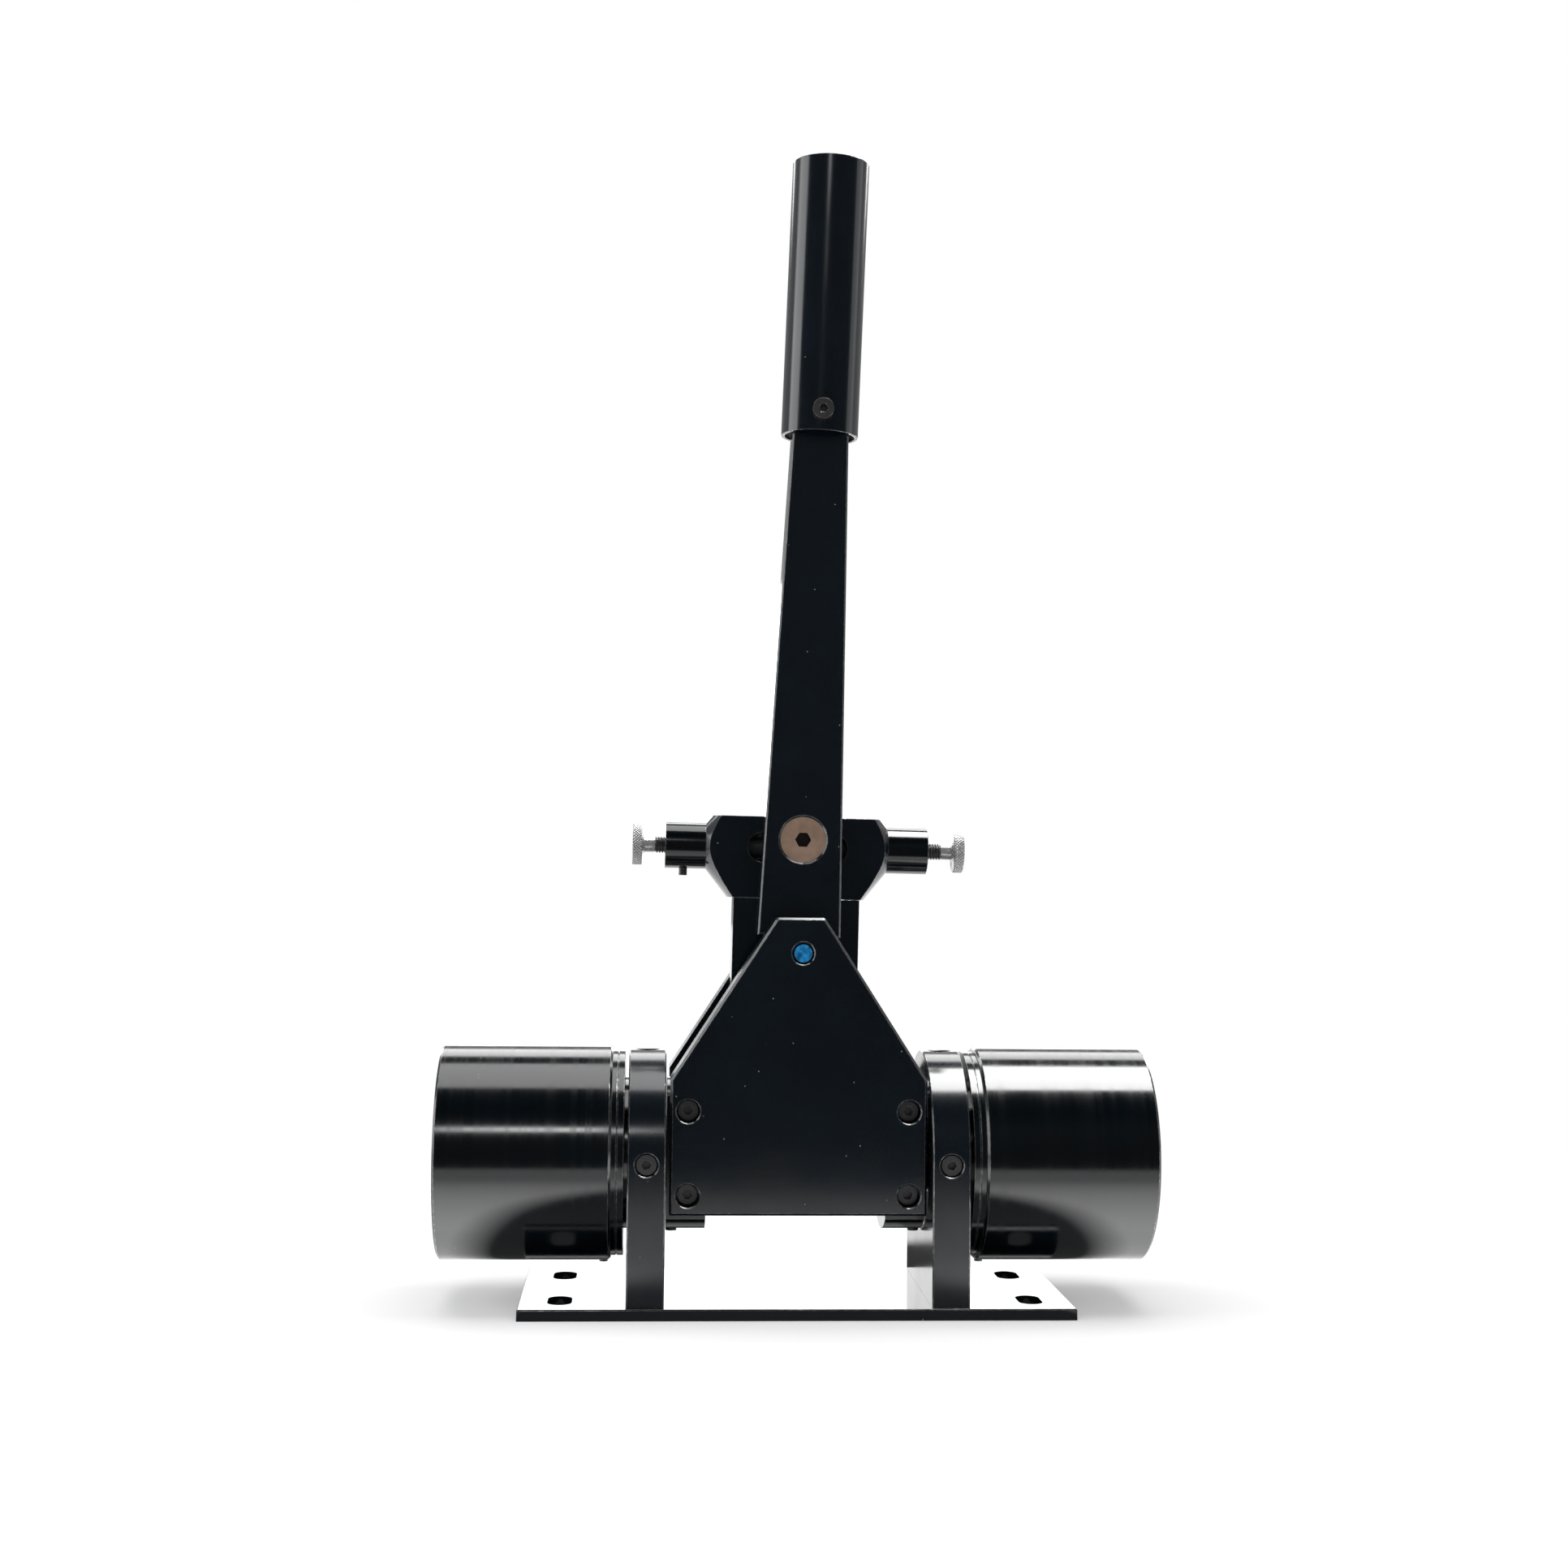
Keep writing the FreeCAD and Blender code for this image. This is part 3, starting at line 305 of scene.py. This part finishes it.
plate_black = anodised("plate_black", ALONG_X, BLACK, 0.11, 0.17, 0.07)
lever_black = anodised("lever_black", ALONG_Z, BLACK, 0.14, 0.2, 0.07)
drum_black = anodised("drum_black", ROUND_X, DEEP_BLACK, 0.11, 0.15, 0.02, bands=ROUND_BANDS)
post_black = anodised("post_black", ALONG_Z, BLACK, 0.14, 0.2, 0.04)
base_black = anodised("base_black", ALONG_X, DEEP_BLACK, 0.05, 0.08, 0.02)
tube_black = anodised("tube_black", ALONG_Z, BLACK, 0.13, 0.19, 0.03)
sleeve_black = anodised("sleeve_black", ROUND_X, DEEP_BLACK, 0.1, 0.16, 0.03)
screw_black = metal("screw_black", (0.1, 0.1, 0.105, 1), 0.34, ROUND_X, edge=grey(0.8), metallic=0.6)
knob_steel = metal("knob_steel", (0.8, 0.8, 0.8, 1), 0.22, ROUND_X, metallic=0.55)
ground_steel = metal("ground_steel", (0.55, 0.55, 0.56, 1), 0.28, ROUND_X)
ball_steel = metal("ball_steel", (0.72, 0.72, 0.73, 1), 0.12, ROUND_X)
spring_steel = metal("spring_steel", (0.36, 0.36, 0.38, 1), 0.32, ROUND_X)
bronze = metal("bronze", (0.55, 0.33, 0.14, 1), 0.3, ROUND_X)
bolt_metal = turned_face(
    "bolt_metal", (0.6, 0.41, 0.3, 1), 0.3, 0.35,
    box_centre("pivot_bolt"), (math.pi / 2, 0, 0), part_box("pivot_bolt")[0][1],
)
blue_locker = moulded("blue_locker", (0.008, 0.12, 0.3, 1), 0.12, 2.4)
lining_brown = moulded("lining_brown", (0.10, 0.075, 0.05, 1), 0.6, 0.6)
acetal_grey = moulded("acetal_grey", (0.075, 0.08, 0.085, 1), 0.35)


def both(name):
    return [name + "_" + side for side in SIDES]


FINISHES = (
    (base_black, ["base_plate"]),
    (plate_black, ["front_plate", "back_plate", "rocker_post", "rocker_block"] + both("hub")),
    (lever_black, ["lever_bar", "lever_journal"]),
    (sleeve_black, both("sleeve")),
    (drum_black, both("drum_shell") + both("drum_collar") + both("end_cap")),
    (post_black, both("post")),
    (tube_black, ["grip_tube", "tube_plug"]),
    (screw_black, ["base_screws", "clamp_screws", "end_cap_screws", "drum_lock_screws"]),
    (screw_black, ["plate_screws", "hub_lock_screws", "block_screws", "sleeve_lock_screw"]),
    (screw_black, ["tube_screw", "rotor_nuts", "tilt_pin", "pivot_nut", "pivot_washer"] + both("stud")),
    (knob_steel, both("knob")),
    (ground_steel, both("trunnion_shaft") + both("drag_rotor") + both("pressure_plate")),
    (ball_steel, both("bearing_outer") + both("bearing_inner")),
    (bronze, ["tilt_bush", "tilt_washer", "tilt_spacer"]),
    (bolt_metal, ["pivot_bolt"]),
    (blue_locker, ["thread_lock"]),
    (lining_brown, ["friction_linings"]),
    (spring_steel, ["drag_springs"]),
    (acetal_grey, both("drag_plug")),
)
for material, names in FINISHES:
    for name in names:
        for slot in frame["nodes"][name].material_slots:
            slot.link = "OBJECT"
            slot.material = material


# ---- threads and knurls --------------------------------------------------------------------------
def turned_mesh(name, rows, around, material, place):
    """A closed solid about Z: rows of (height, radius function of the angle), end to end."""
    mesh = bpy.data.meshes.new(name)
    build = bmesh.new()
    loops = []
    for height, radius in rows:
        loop = []
        for step in range(around):
            angle = 2 * math.pi * step / around
            reach = radius(angle)
            loop.append(build.verts.new((reach * math.cos(angle), reach * math.sin(angle), height)))
        loops.append(loop)
    for lower, upper in zip(loops, loops[1:]):
        for step in range(around):
            after = (step + 1) % around
            build.faces.new((lower[step], lower[after], upper[after], upper[step]))
    build.faces.new(list(reversed(loops[0])))
    build.faces.new(loops[-1])
    for face in build.faces:
        face.smooth = len(face.verts) == 4
    build.to_mesh(mesh)
    build.free()
    mesh.transform(place)
    mesh.materials.append(material)
    piece = bpy.data.objects.new(name, mesh)
    bpy.context.collection.objects.link(piece)
    return piece


def saw(value):
    """Zero at whole numbers and one half way between them."""
    part = value % 1.0
    return 1 - abs(2 * part - 1)


def plain(radius):
    return lambda angle: radius


def knurled(radius, height):
    def reach(angle):
        turn = KNURL_COUNT * angle / (2 * math.pi)
        climb = height * KNURL_COUNT / (2 * math.pi * radius)
        ridge = min(1.0, 1.7 * min(saw(turn + climb), saw(turn - climb)))
        return radius - KNURL_DEPTH * (1 - ridge)
    return reach


def threaded(radius, height):
    def reach(angle):
        flank = saw(height / THREAD_PITCH - angle / (2 * math.pi))
        return radius - THREAD_DEPTH * (1 - min(1.0, 1.15 * flank))
    return reach


def knob_rows(start, end, radius):
    """Neck, flare, knurled head and shallow dish of a thumb screw's knob."""
    head = end - KNOB_THICK
    rows = [(start, plain(NECK_R - NECK_EDGE)), (start + NECK_EDGE, plain(NECK_R))]
    rows += [(head - short * MM, plain(NECK_R + wider * MM)) for short, wider in NECK_FLARE]
    rows.append((head, plain(radius - KNOB_RIM)))
    for step in range(KNURL_STEPS + 1):
        height = head + KNOB_RIM + (KNOB_THICK - 2 * KNOB_RIM) * step / KNURL_STEPS
        rows.append((height, knurled(radius, height - head)))
    rows += [(end, plain(radius - KNOB_RIM)), (end, plain(radius * DISH_RIM))]
    foot = end - DISH_DEPTH
    rows += [(foot, plain(radius * DISH_FOOT)), (foot, plain(DISH_MIDDLE))]
    return rows


def stud_rows(low, thread_start, thread_end, high, radius):
    """Plain tip, thread and plain end of a thumb screw's stud."""
    rows = [(low, plain(STUD_TIP_R)), (thread_start, plain(STUD_TIP_R))]
    steps = int((thread_end - thread_start) / THREAD_PITCH * THREAD_ROWS)
    for step in range(steps + 1):
        height = thread_start + (thread_end - thread_start) * step / steps
        rows.append((height, threaded(radius, height)))
    return rows + [(thread_end, plain(STUD_TIP_R)), (high, plain(STUD_TIP_R))]


def joint_line(name):
    for joint in frame["record"]["behaviour"]["joints"]:
        if joint["name"] == name:
            return Vector(joint["pos_m"]), Vector(joint["axis"]).normalized()
    raise KeyError(name)


def reach_along(node, origin, axis):
    """How far a node reaches along a line, and its largest radius about it."""
    lowest, highest, widest = math.inf, -math.inf, 0.0
    for vertex in frame["nodes"][node].data.vertices:
        arm = vertex.co - origin
        height = arm.dot(axis)
        lowest = min(lowest, height)
        highest = max(highest, height)
        widest = max(widest, (arm - axis * height).length)
    return lowest, highest, widest


for side in SIDES:
    origin, axis = joint_line("thumb_screw_" + side)
    place = Matrix.Translation(origin) @ axis.to_track_quat("Z", "Y").to_matrix().to_4x4()
    start, end, radius = reach_along("knob_" + side, origin, axis)
    stud_low, stud_high, stud_r = reach_along("stud_" + side, origin, axis)
    plug_end = reach_along("drag_plug_" + side, origin, axis)[1]
    rows = knob_rows(start, end, radius)
    knob = turned_mesh("knurled_knob_" + side, rows, KNURL_COUNT * KNURL_POINTS, knob_steel, place)
    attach(knob, "thumb_screw_" + side)
    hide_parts("knob_" + side)

    rows = stud_rows(stud_low, plug_end + STUD_GAP, start, stud_high, stud_r)
    stud = turned_mesh("threaded_stud_" + side, rows, THREAD_POINTS, screw_black, place)
    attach(stud, "thumb_screw_" + side)
    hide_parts("stud_" + side)


# ---- studio --------------------------------------------------------------------------------------
def sheet_in_reflections(nodes, place):
    """The floor as reflections see it: a sheet, a painted pool of light before the base and a painted
    shadow, a dark oval under the object.
    """
    front = nodes.separated(place)["Y"]
    sheet = nodes.ramp(front, -SHEET_FRONT - SHEET_EDGE, -SHEET_FRONT, SHEET_BEYOND, SHEET_GLOW)
    # painted light: a bright strip on the floor that only reflections see, a pool of light before the
    # base
    strip = nodes.ramp(front, STRIP_START, STRIP_FULL, 0.0, PAINTED_STRIP_GLOW)
    under = nodes.ramp(front, STRIP_END, 0.0, 1.0, STRIP_UNDER)
    glow = nodes.maths("MULTIPLY_ADD", strip, under, sheet)
    # painted shadow: a dark oval under the object darkens the floor in reflections
    oval = stretched(nodes, (1 / SHADOW_OVAL_HALF_X, 1 / SHADOW_OVAL_HALF_Y, 0.0))
    glow_with_painted_shadow = nodes.maths("MULTIPLY", glow, nodes.ramp(nodes.length(oval), 0.92, 1.06, SHADOW_OVAL_DARK, 1.0))
    return nodes.add("Emission", {"Color": grey(1.0), "Strength": glow_with_painted_shadow}).outputs["Emission"]


def floor_material():
    """Matt white sheet that keeps shadows near the object and fades to plain white further out.

    Reflections don't see the lit sheet, but a picture of one with painted light and a painted shadow:
    see sheet_in_reflections.
    """
    nodes = material_nodes("floor_white")
    place = nodes.add("TexCoord").outputs["Object"]
    path = nodes.add("LightPath").outputs
    far = nodes.ramp(nodes.length(place), FADE_START, FADE_END, 0.0, 1.0)
    glow = nodes.ramp(far, 0.0, 1.0, SHADOW_FILL, 1.0)
    matt = nodes.add("BsdfDiffuse", {"Color": STAGE_WHITE}).outputs["BSDF"]
    white = nodes.add("Emission", {"Color": grey(1.0), "Strength": glow}).outputs["Emission"]
    near = nodes.add("AddShader", {0: matt, 1: white}).outputs["Shader"]
    lit = nodes.mixed(path["Is Camera Ray"], matt, nodes.mixed(far, near, white))
    mirror = nodes.maths("MAXIMUM", path["Is Glossy Ray"], path["Is Transmission Ray"])
    return nodes.surface(nodes.mixed(mirror, lit, sheet_in_reflections(nodes, place)))


corners = [(-FLOOR_HALF, -FLOOR_HALF, 0), (FLOOR_HALF, -FLOOR_HALF, 0)]
corners += [(FLOOR_HALF, FLOOR_HALF, 0), (-FLOOR_HALF, FLOOR_HALF, 0)]
floor_mesh = bpy.data.meshes.new("floor")
floor_mesh.from_pydata(corners, [], [(0, 1, 2, 3)])
floor_mesh.materials.append(floor_material())
floor = bpy.data.objects.new("floor", floor_mesh)
bpy.context.collection.objects.link(floor)


def softbox(name, place, aim, width, height, brightness, shine_only=False):
    """A rectangular lamp of an even brightness; a shine-only one lights glossy reflections alone."""
    data = bpy.data.lights.new(name, "AREA")
    data.shape = "RECTANGLE"
    data.size = width
    data.size_y = height
    data.energy = brightness * math.pi * width * height
    lamp = bpy.data.objects.new(name, data)
    lamp.location = place
    lamp.rotation_euler = (Vector(aim) - Vector(place)).to_track_quat("-Z", "Y").to_euler()
    lamp.visible_diffuse = not shine_only
    bpy.context.collection.objects.link(lamp)


softbox("top_box", (0.0, 0.13, 1.25), (0, 0.13, 0), 1.3, 0.8, 2.6)
softbox("top_shine", (0.57, 0.13, 1.24), (0.57, 0.13, 0), 1.0, 0.78, 9.0, shine_only=True)
softbox("left_box", (-1.25, 0.05, 0.6), (0, 0.05, 0.6), 0.8, 1.1, 2.2)
softbox("left_bar", (-0.24, -2.3, 1.38), (-0.1, 0, 0.05), 0.3, 0.2, 9.0, shine_only=True)
softbox("back_low", (0.3, 1.6, 0.34), (0.3, 0, 0.34), 3.2, 0.3, 3.4, shine_only=True)
softbox("back_high", (0.3, 1.6, 1.45), (0.3, 0, 0.6), 3.2, 0.8, 3.6, shine_only=True)
softbox("right_box", (1.3, 0.1, 0.6), (0, 0.1, 0.4), 0.6, 1.0, 0.6)


def studio_world():
    """White to the camera and an even fill; reflections see a dark room, grey low down behind."""
    world = bpy.data.worlds.new("studio")
    bpy.context.scene.world = world
    nodes = Nodes(world)

    def level(strength):
        return nodes.add("Background", {"Color": grey(1.0), "Strength": strength}).outputs["Background"]

    direction = nodes.separated(nodes.add("TexCoord").outputs["Generated"])
    behind = nodes.ramp(direction["Y"], 0.05, 0.25, ROOM_DARK, ROOM_BACK)
    lower = nodes.ramp(direction["Z"], 0.55, 0.75, 1.0, ROOM_DARK)
    path = nodes.add("LightPath").outputs
    room = level(nodes.maths("MULTIPLY", behind, lower))
    fill = nodes.mixed(path["Is Glossy Ray"], level(ROOM_FILL), room)
    seen = nodes.mixed(path["Is Camera Ray"], fill, level(1.0))
    through = nodes.mixed(path["Is Transmission Ray"], seen, level(1.0))
    nodes.add("OutputWorld", {"Surface": through})


studio_world()

# ---- camera --------------------------------------------------------------------------------------
yaw, pitch, roll = (math.radians(a) for a in (CAMERA_YAW, CAMERA_PITCH, CAMERA_ROLL))
forward = Vector((math.sin(yaw) * math.cos(pitch), math.cos(yaw) * math.cos(pitch), math.sin(pitch)))
level_right = forward.cross(Vector((0, 0, 1))).normalized()
level_up = level_right.cross(forward)
right = level_right * math.cos(roll) + level_up * math.sin(roll)
up = level_up * math.cos(roll) - level_right * math.sin(roll)
camera_data = bpy.data.cameras.new("camera")
camera_data.lens = CAMERA_LENS
camera_data.clip_start = 0.01
camera = bpy.data.objects.new("camera", camera_data)
turn = Matrix((right, up, -forward)).transposed().to_4x4()
camera.matrix_world = Matrix.Translation(CAMERA_PLACE) @ turn
bpy.context.collection.objects.link(camera)
bpy.context.scene.camera = camera
bpy.context.scene.view_settings.view_transform = "Standard"
